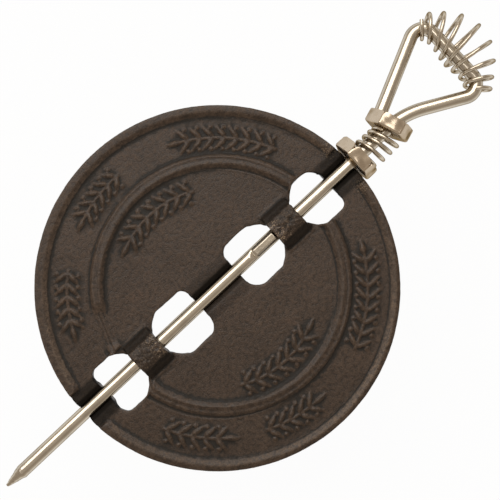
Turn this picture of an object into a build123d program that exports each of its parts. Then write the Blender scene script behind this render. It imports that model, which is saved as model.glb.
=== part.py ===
from build123d import *

# Stovepipe damper for a 6 inch flue: a cast iron plate that a bent steel spindle carries and turns.
# Origin: the plate's centre, on the spindle's axis. +X runs along the spindle to the handle, and
# +Z is the plate's front face, which looks up the flue when the damper is shut.
import os
from math import cos, pi, radians, sin, sqrt, tan

os.makedirs("parts", exist_ok=True)

# Spindle stock, and how freely it runs in the plate's cast channels.
rod_diameter = 5.5
channel_clearance = 0.1

# Plate: a flat web with a raised rim and a raised ring on its front face.
plate_radius = 73.0
web_thickness = 3.0
rim_bead_width = 4.8
rim_bead_height = 1.2
rim_land_width = 1.9
rim_edge_chamfer = 0.3
ring_bead_radius = 49.9
ring_bead_width = 5.0
ring_bead_height = 1.2

# Four windows leave five bridges across the spindle. Sizes are along the spindle from the centre, and
# the windows' middle line lies a little beside it.
centre_bridge_end = 10.2
hump_start = 31.4
hump_end = 43.8
rim_bridge_start = 61.2
window_half_width = 11.0
window_offset = -0.75
window_flank_length = 5.6
window_flank_width = 5.6
window_corner = 3.2
window_flank_round = 6.0

# Bridge section: half widths across the spindle, and the iron over the channel.
bridge_mouth = 4.8
bridge_crown = 4.6
bridge_foot = 8.6
bridge_wall = 3.0
bridge_crown_round = 2.0

# Spindle: a drawn point, a lug struck up in its middle, and the loop of the handle.
tip_x = -115.5
tip_length = 8.1
tip_blunt_radius = 0.6
lug_length = 10.8
lug_width = 3.0
lug_height = 0.6
lug_gap = 0.4
lug_cut_length = 2.4
lug_cut_depth = 0.9
lug_slot_clearance = 0.35
lug_slot_depth = 3.0
neck_corner_x = 101.7
neck_bend = 35.0
lower_leg_angle = 28.3
lower_corner_bend = 5.4
crossbar_x = 132.8
upper_corner_bend = 5.4
upper_leg_angle = 25.0
knee_x = 94.0
knee_bend = 6.0
leg_gap = 0.25

# Two equal spring cups: six-sided pressings with a tab on each side. One sits on the flue pipe,
# and the other leans on the end of the handle's upper leg.
cup_corner_radius = 9.9
cup_corner_round = 1.2
cup_sheet = 0.7
cup_depth = 5.6
cup_bore = 6.4
cup_base_round = 0.6
tab_notch_root = 2.6
tab_notch_neck = 0.5
tab_corner_round = 1.7
plate_to_washer = 0.3
keeper_x = 91.8
keeper_tilt = 18.0
seat_gap = 0.1

# Pressure spring between the cups.
spring_wire = 1.5
spring_outer_diameter = 14.4
spring_turns = 4.75
spring_closing = 0.15
spring_sag = 1.4
spring_sag_share = 0.5
spring_start_angle = 140.0

# Handle coil: a barrel-shaped coil round the crossbar, whose end turns sit on the loop's two corner
# bends, and which fans out between them. Seat angles are measured round the bends, from +X.
coil_wire = 1.5
coil_turns = 7.5
coil_closing = 0.17
coil_end_room = 1.45
coil_inner_gap = 1.28
coil_seat_offset = 0.9
coil_lower_seat_angle = 59.0
coil_upper_seat_angle = 49.0
coil_half_fan = 45.0

# Points on which the coils' gaps are measured.
SAMPLES_PER_TURN = 24
SPINDLE_SAMPLES = 1200

rod_radius = rod_diameter / 2
web_half = web_thickness / 2
channel_radius = rod_radius + channel_clearance
bridge_height = channel_radius + bridge_wall
washer_x = plate_radius + plate_to_washer
keeper_axis = Vector(cos(radians(keeper_tilt)), sin(radians(keeper_tilt)), 0)


def bridge(start, end, side):
    """One bridge over the spindle, in front of it (side 1) or behind it (side -1)."""
    length = end - start
    middle = (start + end) / 2
    with Locations((middle, 0, 0)):
        Box(length, 2 * bridge_foot, 4 * bridge_height, mode=Mode.SUBTRACT)
    with BuildSketch(Plane.YZ.offset(start)) as profile:
        with BuildLine():
            outline = [
                (bridge_mouth, -side * web_half),
                (bridge_foot, -side * web_half),
                (bridge_foot, side * web_half),
                (bridge_crown, side * bridge_height),
                (-bridge_crown, side * bridge_height),
                (-bridge_foot, side * web_half),
                (-bridge_foot, -side * web_half),
                (-bridge_mouth, -side * web_half),
            ]
            Line((channel_radius, 0), outline[0])
            Polyline(*outline)
            Line(outline[-1], (-channel_radius, 0))
            ThreePointArc((-channel_radius, 0), (0, side * channel_radius), (channel_radius, 0))
        section = make_face()
        crowns = [v for v in section.vertices() if abs(abs(v.Y) - bridge_height) < 0.01]
        fillet(crowns, bridge_crown_round)
    extrude(profile.sketch, amount=length)


with BuildPart() as damper_plate:
    with BuildSketch(Plane.XZ):
        with BuildLine():
            rim_inner = plate_radius - rim_bead_width
            rim_crest = plate_radius - rim_land_width
            rim_top = web_half + rim_bead_height
            ring_outer = ring_bead_radius + ring_bead_width / 2
            ring_inner = ring_bead_radius - ring_bead_width / 2
            Polyline((0, web_half), (0, -web_half), (plate_radius, -web_half),
                     (plate_radius, rim_top - rim_edge_chamfer),
                     (plate_radius - rim_edge_chamfer, rim_top), (rim_crest, rim_top))
            TangentArc((rim_crest, rim_top), (rim_inner, web_half), tangent=(-1, 0))
            Line((rim_inner, web_half), (ring_outer, web_half))
            ThreePointArc((ring_outer, web_half), (ring_bead_radius, web_half + ring_bead_height),
                          (ring_inner, web_half))
            Line((ring_inner, web_half), (0, web_half))
        make_face()
    revolve(axis=Axis.Z)

    with BuildSketch(Plane(origin=(0, window_offset, 0))):
        narrow = window_half_width - window_flank_width
        for square_end, flanked_end, towards in (
            (centre_bridge_end, hump_start, 1),
            (rim_bridge_start, hump_end, -1),
        ):
            flank_start = flanked_end - towards * window_flank_length
            with BuildLine():
                Polyline((square_end, window_half_width), (flank_start, window_half_width),
                         (flanked_end, narrow), (flanked_end, -narrow),
                         (flank_start, -window_half_width), (square_end, -window_half_width),
                         close=True)
            window = make_face()
            square = [v for v in window.vertices() if abs(v.X - square_end) < 0.01]
            flanks = [v for v in window.vertices() if abs(v.X - square_end) > 0.01]
            fillet(square, window_corner)
            fillet(flanks, window_flank_round)
        mirror(about=Plane.YZ)
    extrude(amount=plate_radius, both=True, mode=Mode.SUBTRACT)

    # The spindle weaves through: behind both humps, and in front of the other three bridges.
    bridge(-plate_radius, -rim_bridge_start, -1)
    bridge(-hump_end, -hump_start, 1)
    bridge(-centre_bridge_end, centre_bridge_end, -1)
    bridge(hump_start, hump_end, 1)
    bridge(rim_bridge_start, plate_radius, -1)
    with BuildSketch():
        Circle(plate_radius)
    extrude(amount=2 * bridge_height, both=True, mode=Mode.INTERSECT)

    # Slot in the face of the hump, where the lug seats when the spring pulls the spindle home.
    with Locations((hump_start, 0, 0)):
        Box(lug_slot_depth, lug_width + 2 * lug_slot_clearance,
            rod_radius + lug_height + lug_slot_clearance,
            align=(Align.MIN, Align.CENTER, Align.MIN), mode=Mode.SUBTRACT)

damper_plate.part.label = "damper_plate"
export_step(damper_plate.part, "parts/damper_plate.step")


# Centre line of the spindle, from its point round the handle's loop to the free end of the wire.
leg_y = rod_diameter + leg_gap
cone_end_x = tip_x + tip_length
free_end_x = keeper_x + (cup_sheet + seat_gap - (leg_y - rod_radius) * keeper_axis.Y) / keeper_axis.X
lower_corner_y = -(crossbar_x - neck_corner_x) * tan(radians(lower_leg_angle))
upper_corner_y = leg_y + (crossbar_x - knee_x) * tan(radians(upper_leg_angle))
lug_end_x = hump_start - lug_gap
lug_start_x = lug_end_x - lug_length
lug_top = rod_radius + lug_height

with BuildPart() as spindle:
    with BuildLine() as spindle_path:
        FilletPolyline(
            (cone_end_x, 0), (neck_corner_x, 0), (crossbar_x, lower_corner_y),
            (crossbar_x, upper_corner_y), (knee_x, leg_y), (free_end_x, leg_y),
            radius=[neck_bend, lower_corner_bend, upper_corner_bend, knee_bend],
        )
    with BuildSketch(Plane(origin=(cone_end_x, 0, 0), z_dir=(1, 0, 0))):
        Circle(rod_radius)
    sweep()
    with Locations(Plane(origin=(cone_end_x, 0, 0), z_dir=(-1, 0, 0))):
        Cone(rod_radius, tip_blunt_radius, tip_length, align=(Align.CENTER, Align.CENTER, Align.MIN))

    # The lug is metal that a chisel cut has thrown up on the spindle's front side.
    with Locations((lug_start_x, 0, 0)):
        Box(lug_length, lug_width, lug_top, align=(Align.MIN, Align.CENTER, Align.MIN))
    with BuildSketch(Plane.XZ):
        with BuildLine():
            Polyline((lug_start_x - lug_cut_length, rod_radius), (lug_start_x, rod_radius - lug_cut_depth),
                     (lug_start_x, rod_diameter), (lug_start_x - lug_cut_length, rod_diameter),
                     close=True)
        make_face()
    extrude(amount=rod_diameter, both=True, mode=Mode.SUBTRACT)

spindle.part.label = "spindle"
export_step(spindle.part, "parts/spindle.step")


def spring_cup(seat):
    """A cup with its base on the seat plane, its mouth along the plane's normal and one corner,
    between two tabs, along the plane's x direction."""
    with BuildPart() as cup:
        with BuildSketch(seat):
            RegularPolygon(cup_corner_radius, 6)
            fillet(vertices(), cup_corner_round)
        extrude(amount=cup_depth)
        base = cup.faces().sort_by(Axis(seat.origin, seat.z_dir))[0]
        fillet(base.edges(), cup_base_round)
        with BuildSketch(seat.offset(cup_sheet)):
            RegularPolygon(cup_corner_radius - cup_sheet / cos(radians(30)), 6)
            fillet(vertices(), cup_corner_round - cup_sheet / 2)
        extrude(amount=cup_depth, mode=Mode.SUBTRACT)
        with BuildSketch(seat):
            Circle(cup_bore / 2)
        extrude(amount=cup_sheet, mode=Mode.SUBTRACT)
        round_start = cup_depth - tab_corner_round
        mouth = tab_notch_neck + tab_corner_round
        cut_back = tab_corner_round * (1 - cos(radians(45)))
        for corner in range(6):
            turned = seat.rotated((0, 0, 60 * corner))
            with BuildSketch(Plane(origin=seat.origin, x_dir=turned.y_dir, z_dir=turned.x_dir)):
                with BuildLine():
                    Polyline((-tab_notch_neck, round_start), (0, tab_notch_root),
                             (tab_notch_neck, round_start))
                    ThreePointArc((tab_notch_neck, round_start),
                                  (tab_notch_neck + cut_back, cup_depth - cut_back), (mouth, cup_depth))
                    Polyline((mouth, cup_depth), (mouth, cup_depth + cup_sheet),
                             (-mouth, cup_depth + cup_sheet), (-mouth, cup_depth))
                    ThreePointArc((-mouth, cup_depth),
                                  (-tab_notch_neck - cut_back, cup_depth - cut_back),
                                  (-tab_notch_neck, round_start))
                make_face()
            extrude(amount=2 * cup_corner_radius, mode=Mode.SUBTRACT)
    return cup


pipe_washer = spring_cup(Plane(origin=(washer_x, 0, 0), x_dir=(0, 1, 0), z_dir=(1, 0, 0)))
pipe_washer.part.label = "pipe_washer"
export_step(pipe_washer.part, "parts/pipe_washer.step")

keeper_seat = Plane(origin=(keeper_x, 0, 0), x_dir=(-keeper_axis.Y, keeper_axis.X, 0), z_dir=keeper_axis)
keeper_cap = spring_cup(keeper_seat)
keeper_cap.part.label = "keeper_cap"
export_step(keeper_cap.part, "parts/keeper_cap.step")


def biarc(start, start_dir, finish, finish_dir):
    """Two arcs that leave start and reach finish in the given directions, tangent where they meet."""
    span = finish - start
    both = start_dir + finish_dir
    spread = 2 * (1 - start_dir.dot(finish_dir))
    reach = (sqrt(span.dot(both) ** 2 + spread * span.dot(span)) - span.dot(both)) / spread
    first_corner = start + start_dir * reach
    second_corner = finish - finish_dir * reach
    joint = (first_corner + second_corner) / 2
    TangentArc(start, joint, tangent=start_dir)
    TangentArc(joint, finish, tangent=second_corner - first_corner)


def heading(place, turn):
    """Direction of a wire's centre line at a turn."""
    step = 0.001
    return (place(turn + step) - place(turn - step)).normalized()


def wound_wire(place, turns, wire):
    """A round wire along place(turn), from turn 0 to turns, with a short straight run at each end."""
    quarters = round(4 * turns)
    stops = [turns * quarter / quarters for quarter in range(quarters + 1)]
    points = [place(stop) for stop in stops]
    headings = [heading(place, stop) for stop in stops]
    with BuildPart() as wound:
        with BuildLine():
            Line(points[0] - headings[0] * wire, points[0])
            for index in range(quarters):
                biarc(points[index], headings[index], points[index + 1], headings[index + 1])
            Line(points[-1], points[-1] + headings[-1] * wire)
        with BuildSketch(Plane(origin=points[0] - headings[0] * wire, z_dir=headings[0])):
            Circle(wire / 2)
        sweep()
    return wound


def least_gap(place, turns, wire):
    """Least gap between a wire's neighbouring turns, measured on points along it."""
    count = round(turns * SAMPLES_PER_TURN)
    points = [place(turns * index / count) for index in range(count + 1)]
    apart = SAMPLES_PER_TURN // 2
    return min(
        (points[a] - points[b]).length
        for a in range(count + 1)
        for b in range(a + apart, count + 1)
    ) - wire


def gap_to_spindle(place, turns, wire):
    """Least gap between a wire and the spindle, measured on points along both."""
    count = round(turns * SAMPLES_PER_TURN)
    along = [spindle_path.line @ (index / SPINDLE_SAMPLES) for index in range(SPINDLE_SAMPLES + 1)]
    points = [place(turns * index / count) for index in range(count + 1)]
    return min((p - q).length for p in points for q in along) - wire / 2 - rod_radius


def eased(turn, turns, closing):
    """Share of a coil's length reached at a turn: -1 at its start and 1 at its end, where the
    turns lie closer together than in the middle."""
    share = 2 * turn / turns - 1
    return (1 + closing) * share - closing * share ** 3


# The pressure spring starts flat in the washer, and ends flat against the tilted keeper.
spring_radius = (spring_outer_diameter - spring_wire) / 2
spring_start_x = washer_x + cup_sheet + spring_wire / 2 + seat_gap
spring_end_x = (keeper_x + spring_sag * tan(radians(keeper_tilt))
                - (spring_wire / 2 + seat_gap) / keeper_axis.X)


def on_spring(turn):
    """Centre of the pressure spring's wire at a turn."""
    share = turn / spring_turns
    middle_x = (spring_start_x + spring_end_x) / 2
    x = middle_x + eased(turn, spring_turns, spring_closing) * (spring_end_x - spring_start_x) / 2
    slump = min(1, share / spring_sag_share)
    y = -spring_sag * slump ** 2 * (3 - 2 * slump)
    tilt = radians(keeper_tilt * share)
    around = radians(spring_start_angle) + 2 * pi * turn
    up = spring_radius * cos(around)
    return Vector(x - up * sin(tilt), y + up * cos(tilt), spring_radius * sin(around))


pressure_spring = wound_wire(on_spring, spring_turns, spring_wire)
pressure_spring.part.label = "pressure_spring"
export_step(pressure_spring.part, "parts/pressure_spring.step")


def corner_seat(corner_y, bend, leg_angle, side, seat_angle):
    """Centre of the coil's end turn on a corner bend of the loop: the upper (side 1) or lower (-1)."""
    tangent = bend * tan(radians((90 + leg_angle) / 2))
    bend_centre = Vector(crossbar_x - bend, corner_y - side * tangent, 0)
    outward = Vector(cos(radians(seat_angle)), side * sin(radians(seat_angle)), 0)
    return bend_centre + outward * (bend + coil_seat_offset)


coil_start = corner_seat(lower_corner_y, lower_corner_bend, lower_leg_angle, -1, coil_lower_seat_angle)
coil_end = corner_seat(upper_corner_y, upper_corner_bend, upper_leg_angle, 1, coil_upper_seat_angle)
coil_span = coil_end - coil_start
coil_up = coil_span.normalized()
coil_out = coil_up.cross(Vector(0, 0, 1))
coil_fan_reach = coil_span.length / 2 / sin(radians(coil_half_fan))
coil_fan_centre = (coil_start + coil_end) / 2 - coil_out * (coil_fan_reach * cos(radians(coil_half_fan)))
coil_middle_x = (coil_fan_centre + coil_out * coil_fan_reach).X
coil_end_radius = rod_radius + coil_wire / 2 + coil_end_room
coil_middle_radius = coil_middle_x - crossbar_x + rod_radius + coil_wire / 2 + coil_inner_gap


def on_coil(turn):
    """Centre of the handle coil's wire at a turn, from the lower end of the crossbar to the upper."""
    share = eased(turn, coil_turns, coil_closing)
    fan = radians(coil_half_fan) * share
    swell = (1 + cos(pi * (2 * turn / coil_turns - 1))) / 2
    radius = coil_end_radius + (coil_middle_radius - coil_end_radius) * swell
    around = 2 * pi * turn
    outward = coil_out * cos(fan) + coil_up * sin(fan)
    centre = coil_fan_centre + outward * (coil_fan_reach + radius * cos(around))
    return centre - Vector(0, 0, radius * sin(around))


handle_coil = wound_wire(on_coil, coil_turns, coil_wire)
handle_coil.part.label = "handle_coil"
export_step(handle_coil.part, "parts/handle_coil.step")

print(f"pressure spring: least gap between turns {least_gap(on_spring, spring_turns, spring_wire):.2f} mm")
print(f"handle coil: least gap between turns {least_gap(on_coil, coil_turns, coil_wire):.2f} mm")
print(f"handle coil to spindle: {gap_to_spindle(on_coil, coil_turns, coil_wire):.2f} mm")
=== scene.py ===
# %% [markdown]
# A stovepipe damper, dressed for its picture. The measured solids come packed as a frame: a cast plate,
# a bent spindle, two pressed cups and two wound wires. They carry the sizes and the joints, but they are
# cleaner than the real thing, so each is made once more in its own place, with the marks of its making:
# sand-cast iron, and steel with a thin coat of nickel. A new piece rides on the body of the solid that it
# replaces. A new material on the bare solids would be quicker, but their edges would stay too sharp.

# %% Load the frame
import math

import bmesh
import bpy
import numpy as np
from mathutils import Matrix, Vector, noise


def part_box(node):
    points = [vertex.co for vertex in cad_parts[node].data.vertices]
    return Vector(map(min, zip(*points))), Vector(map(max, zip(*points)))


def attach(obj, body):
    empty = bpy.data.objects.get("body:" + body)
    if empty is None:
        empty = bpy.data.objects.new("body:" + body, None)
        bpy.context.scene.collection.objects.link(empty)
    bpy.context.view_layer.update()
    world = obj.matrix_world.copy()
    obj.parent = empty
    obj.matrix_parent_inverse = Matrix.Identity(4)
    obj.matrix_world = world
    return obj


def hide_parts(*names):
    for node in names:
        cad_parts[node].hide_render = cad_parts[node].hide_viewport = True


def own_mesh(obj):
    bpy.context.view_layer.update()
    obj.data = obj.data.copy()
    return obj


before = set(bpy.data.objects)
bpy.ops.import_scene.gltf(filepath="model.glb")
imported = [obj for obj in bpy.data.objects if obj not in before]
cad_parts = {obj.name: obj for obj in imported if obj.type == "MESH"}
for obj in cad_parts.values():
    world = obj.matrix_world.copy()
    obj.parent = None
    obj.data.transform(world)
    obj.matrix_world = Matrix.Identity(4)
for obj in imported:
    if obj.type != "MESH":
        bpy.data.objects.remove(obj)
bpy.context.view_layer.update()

MM = 0.001
print("pieces:", sorted(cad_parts))

# %% [markdown]
# The camera looks straight down on the front of the plate, turned so that the spindle runs from the
# lower left to the upper right. It could be an orthographic camera, but the sides of the washer and of
# the cast channels show that the real one stood close, about 40 cm away, so it has a short focus.

# %% Camera
CAMERA_DISTANCE = 400 * MM
FIELD_WIDTH = 200.26 * MM
VIEW_CENTRE = Vector((19.9 * MM, 2.2 * MM, 0))
SPINDLE_SLOPE = math.radians(43.2)


def new_object(name, data):
    """An object with this data, put in the scene."""
    thing = bpy.data.objects.new(name, data)
    bpy.context.scene.collection.objects.link(thing)
    return thing


lens = bpy.data.cameras.new("camera")
lens.sensor_width = 36
lens.lens = lens.sensor_width * CAMERA_DISTANCE / FIELD_WIDTH
lens.clip_start = 0.01
camera = new_object("camera", lens)
camera.location = VIEW_CENTRE + Vector((0, 0, CAMERA_DISTANCE))
camera.rotation_euler = (0, 0, -SPINDLE_SLOPE)
bpy.context.scene.camera = camera
bpy.context.scene.view_settings.view_transform = "Standard"
print("focal length in mm:", round(lens.lens, 1))

# %% [markdown]
# Materials and geometry trees are made of the same nodes, so one small class serves both. It wraps the
# output of a node, takes Python's arithmetic, and adds any other node by its type. Nodes could be placed
# by hand in the editor, but written sums stay readable and can be changed in one place.


# %% Arithmetic on nodes
class Link:
    """The output of a node. Sums on it add Math nodes, and add() puts in any other node."""

    def __init__(self, tree, socket=None):
        self.tree = tree
        self.socket = socket

    def add(self, kind, settings=None, inputs=None, out=0):
        """A new node of this type, with its settings and the values or links of its sockets."""
        node = self.tree.nodes.new(kind)
        for name, value in (settings or {}).items():
            if name == "stops":
                ramp = node.color_ramp
                while len(ramp.elements) < len(value):
                    ramp.elements.new(0.5)
                for element, (place, colour) in zip(ramp.elements, value):
                    element.position = place
                    element.color = colour
            else:
                setattr(node, name, value)
        for key, value in (inputs or {}).items():
            if isinstance(value, Link):
                self.tree.links.new(value.socket, node.inputs[key])
            else:
                node.inputs[key].default_value = value
        return Link(self.tree, node.outputs[out]) if len(node.outputs) else None

    def maths(self, operation, *values, clamp=False):
        settings = {"operation": operation, "use_clamp": clamp}
        return self.add("ShaderNodeMath", settings, dict(enumerate(values)))

    def __add__(self, other):
        return self.maths("ADD", self, other)

    def __sub__(self, other):
        return self.maths("SUBTRACT", self, other)

    def __mul__(self, other):
        return self.maths("MULTIPLY", self, other)

    def __truediv__(self, other):
        return self.maths("DIVIDE", self, other)

    def __pow__(self, other):
        return self.maths("POWER", self, other)

    def __rsub__(self, other):
        return self.maths("SUBTRACT", other, self)

    __radd__ = __add__
    __rmul__ = __mul__

    def sin(self):
        return self.maths("SINE", self)

    def cos(self):
        return self.maths("COSINE", self)

    def at_least(self, low):
        return self.maths("MAXIMUM", self, low)

    def between(self, low, high):
        """0 below low, 1 above high, and a smooth step between them."""
        inputs = {0: self, 1: low, 2: high}
        return self.add("ShaderNodeMapRange", {"interpolation_type": "SMOOTHSTEP"}, inputs)

    def speckle(self, scale, detail):
        """Noise at the places that the link gives."""
        return self.add("ShaderNodeTexNoise", inputs={"Vector": self, "Scale": scale, "Detail": detail})


# %% [markdown]
# Wires, the spindle and the cast ornament all follow a rule, so each gets a recipe in Geometry Nodes: a
# small tree with named inputs. A recipe is run once with the sizes of one piece, and its result is kept
# as a plain mesh, which is what the export and the joints need.


# %% Recipes
def new_recipe(name, sizes, counts=()):
    """A geometry tree with an input for each size, each count and the finish, and a dictionary of them."""
    tree = bpy.data.node_groups.new(name, "GeometryNodeTree")
    tree.interface.new_socket("Geometry", in_out="OUTPUT", socket_type="NodeSocketGeometry")
    knobs = {"Geometry": "Geometry", **dict.fromkeys(sizes, "Float"), **dict.fromkeys(counts, "Int"),
             "Finish": "Material"}
    for knob, kind in knobs.items():
        tree.interface.new_socket(knob, in_out="INPUT", socket_type="NodeSocket" + kind)
    front = tree.nodes.new("NodeGroupInput")
    return {knob: Link(tree, front.outputs[knob]) for knob in knobs}


def end_recipe(shape, finish):
    """The tree, closed with real copies, smooth faces and the finish."""
    real = shape.add("GeometryNodeRealizeInstances", inputs={"Geometry": shape})
    smooth = real.add("GeometryNodeSetShadeSmooth", inputs={"Geometry": real})
    dressed = smooth.add("GeometryNodeSetMaterial", inputs={"Geometry": smooth, "Material": finish})
    result = dressed.tree.nodes.new("NodeGroupOutput")
    dressed.tree.links.new(dressed.socket, result.inputs["Geometry"])
    return dressed.tree


def tube_along(curve, radius, sides, swell=1.0):
    """A closed round tube along a curve. Its width swells by a share of its own."""
    ring = curve.add("GeometryNodeCurvePrimitiveCircle", inputs={"Resolution": sides, "Radius": radius})
    return curve.add("GeometryNodeCurveToMesh", inputs={
        "Curve": curve, "Profile Curve": ring, "Scale": swell, "Fill Caps": True})


def baked(piece):
    """The piece with its modifiers' result as its plain mesh."""
    evaluated = piece.evaluated_get(bpy.context.evaluated_depsgraph_get())
    mesh = bpy.data.meshes.new_from_object(evaluated)
    piece.modifiers.clear()
    piece.data = mesh
    return piece


def run_recipe(tree, name, values, start=None):
    """The recipe's result for these values, as a new object with a plain mesh."""
    piece = new_object(name, start or bpy.data.meshes.new(name))
    modifier = piece.modifiers.new("recipe", "NODES")
    modifier.node_group = tree
    for item in tree.interface.items_tree:
        if item.item_type == "SOCKET" and item.in_out == "INPUT" and item.name in values:
            modifier[item.identifier] = values[item.name]
    mesh = baked(piece).data
    mesh.name = name
    print(name, "has", sum(len(p.vertices) - 2 for p in mesh.polygons), "triangles")
    return piece


# %% [markdown]
# The stage is a plain pale floor. In its pipe a damper hangs on its spindle and the plate turns round it,
# so the floor lies just below the reach of the turning plate, where no position of the plate touches it.
# It shows white to the camera and in the metal by its own paint, so that no extra light is needed on the
# dark iron, and it still keeps a soft shadow.

# %% Floor
plate_reach = float(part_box("damper_plate")[1][1])
ROOM_BELOW = 1.5 * MM
FLOOR_HEIGHT = -plate_reach - ROOM_BELOW
FLOOR_HALF = 3.0

floor_mesh = bpy.data.meshes.new("floor")
corners = [(-1, -1), (1, -1), (1, 1), (-1, 1)]
floor_points = [(FLOOR_HALF * x, FLOOR_HALF * y, FLOOR_HEIGHT) for x, y in corners]
floor_mesh.from_pydata(floor_points, [], [(0, 1, 2, 3)])
floor = new_object("floor", floor_mesh)
print("floor at", round(FLOOR_HEIGHT / MM, 1), "mm")


# %% Floor paint
def new_material(name):
    """An empty material, and a link to start its nodes from."""
    material = bpy.data.materials.new(name)
    material.use_nodes = True
    tree = material.node_tree
    tree.nodes.clear()
    return material, Link(tree)


FLOOR_COLOUR = (0.86, 0.86, 0.86, 1)
FLOOR_GLOW = 0.96

floor_paint, paper = new_material("floor paint")
matt = paper.add("ShaderNodeBsdfDiffuse", inputs={"Color": FLOOR_COLOUR})
glow = paper.add("ShaderNodeEmission", inputs={"Color": (1, 1, 1, 1), "Strength": 1.0})
seen_straight = paper.add("ShaderNodeLightPath", out="Is Camera Ray")
seen_in_metal = paper.add("ShaderNodeLightPath", out="Is Glossy Ray")
seen_through = paper.add("ShaderNodeLightPath", out="Is Transmission Ray")
shown = paper.maths("ADD", seen_straight + seen_in_metal, seen_through, clamp=True) * FLOOR_GLOW
surface = paper.add("ShaderNodeMixShader", inputs={0: shown, 1: matt, 2: glow})
paper.add("ShaderNodeOutputMaterial", inputs={"Surface": surface})
floor.data.materials.append(floor_paint)
print("the floor's paint has", len(floor_paint.node_tree.nodes), "nodes")

# %% [markdown]
# The real damper was lit by a broad soft box from the upper left: the spindle shows it as a white line
# beside its middle, and the beads of the plate are a little brighter on that side. A second, small box
# stands nearly overhead, for glints on the cups and the wires. The sky is a warm grey in bands, brightest
# at the horizon, because bare metal shows whatever stands round it. Lamps alone would leave it black.

# %% Lamps
LAMP_AIM = Vector((10 * MM, 0, 0))
LAMP_COLOUR = (1.0, 0.98, 0.95)


def soft_box(name, towards, distance, width, height, brightness):
    """A rectangular lamp. Brightness 1 is the brightness of white paper in this light."""
    lamp = bpy.data.lights.new(name, "AREA")
    lamp.shape = "RECTANGLE"
    lamp.size = width
    lamp.size_y = height
    lamp.energy = brightness * math.pi * width * height
    lamp.color = LAMP_COLOUR
    box = new_object(name, lamp)
    box.location = LAMP_AIM + Vector(towards).normalized() * distance
    box.rotation_euler = (box.location - LAMP_AIM).to_track_quat("Z", "Y").to_euler()
    print(name, "at", [round(v, 2) for v in box.location], "power", round(lamp.energy, 2))


soft_box("soft box", (0.15, 0.57, 0.85), distance=1.4, width=1.9, height=0.98, brightness=2.5)
soft_box("top box", (0.27, 0.10, 1.0), distance=0.6, width=0.16, height=0.12, brightness=2.4)

# %% Sky
# Colour of the sky by the height of the gaze, from the horizon (0) to overhead (1).
SKY_BANDS = [
    (0.00, (0.72, 0.66, 0.58, 1)), (0.20, (0.58, 0.52, 0.445, 1)), (0.42, (0.46, 0.40, 0.335, 1)),
    (0.68, (0.38, 0.325, 0.27, 1)), (0.90, (0.50, 0.44, 0.375, 1)), (1.00, (0.60, 0.535, 0.46, 1))]

world = bpy.data.worlds.new("sky")
world.use_nodes = True
world.node_tree.nodes.clear()
bpy.context.scene.world = world
sky = Link(world.node_tree)
looking = sky.add("ShaderNodeTexCoord", out="Generated")
height = sky.add("ShaderNodeSeparateXYZ", inputs={0: looking}, out="Z")
sky_colour = sky.add("ShaderNodeValToRGB", {"stops": SKY_BANDS}, {0: height})
air = sky.add("ShaderNodeBackground", inputs={"Color": sky_colour, "Strength": 1.0})
sky.add("ShaderNodeOutputWorld", inputs={"Surface": air})
print("the sky has", len(SKY_BANDS), "bands")

# %% [markdown]
# The spindle, cups and wires are steel with a thin coat of nickel: bright, a little warm, and not quite
# clean. The colour and the roughness drift over the metal, fine lines run along a drawn rod, and pressed
# sheet has soft dents. The lines are noise stretched along the rod, which never repeats as a picture
# would. One function makes all three finishes, with the strength of their marks as its values.


# %% Nickel on steel
EDGE_TINT = (0.30, 0.24, 0.16, 1)
WORN_SHARE = 0.62
ALONG_X, EVEN = (0.04, 1, 1), (1, 1, 1)


def nickel(name, colour, stretch, roughness, bump, blotches, dents=0.0):
    """Nickel whose fine lines have a stretch, with dull blotches, and dents of a depth in metres."""
    material, ink = new_material(name)
    place = ink.add("ShaderNodeTexCoord", out="Object")
    drawn = ink.add("ShaderNodeMapping", {"vector_type": "POINT"}, {"Vector": place, "Scale": stretch})
    lines = drawn.speckle(1800.0, 3.0)
    cloud = place.speckle(140.0, 4.0)
    spots = place.speckle(900.0, 2.0)
    dull = cloud.between(0.48, 0.72) * blotches + spots.between(0.66, 0.74) * 0.4
    worn = tuple(WORN_SHARE * c for c in colour[:3]) + (1,)
    tint = ink.add("ShaderNodeMix", {"data_type": "RGBA"}, {0: dull, 6: colour, 7: worn}, out=2)
    rough = lines * 0.10 + dull * 0.12 + (roughness - 0.05)
    normal = ink.add("ShaderNodeBump", inputs={"Strength": bump, "Distance": 0.02 * MM, "Height": lines})
    if dents:
        dented = place.speckle(230.0, 0.0)
        normal = ink.add("ShaderNodeBump", inputs={
            "Strength": 1.0, "Distance": dents, "Height": dented, "Normal": normal})
    metal = ink.add("ShaderNodeBsdfPrincipled", inputs={
        "Base Color": tint, "Metallic": 1.0, "Roughness": rough, "Normal": normal,
        "Specular Tint": EDGE_TINT})
    ink.add("ShaderNodeOutputMaterial", inputs={"Surface": metal})
    print(name, "has", len(material.node_tree.nodes), "nodes")
    return material


rod_nickel = nickel(
    "drawn rod nickel", (0.60, 0.54, 0.45, 1), ALONG_X, roughness=0.16, bump=0.5, blotches=0.45)
wire_nickel = nickel(
    "spring wire nickel", (0.60, 0.53, 0.43, 1), EVEN, roughness=0.18, bump=0.3, blotches=0.35)
cup_nickel = nickel(
    "pressed cup nickel", (0.58, 0.485, 0.375, 1), EVEN, roughness=0.24, bump=0.3, blotches=0.3,
    dents=1.2 * MM)


def paint(piece, material):
    """Gives a piece one material."""
    piece.data.materials.clear()
    piece.data.materials.append(material)


# %% [markdown]
# Both coils are one springy wire wound on a rule. The pressure spring between the cups leaves the washer
# flat, slumps a little to one side and ends as crooked as the cap that it pushes. A screw modifier would
# wind a perfect helix; a formula on the number of turns gives the crooked one. Its ends lie closer
# together than its middle, as every compression spring is closed.

# %% The wound wires' shared rule
POINTS_PER_TURN = 48
WIRE_SIDES = 20
WIRE_RADIUS = 0.8 * MM


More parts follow.
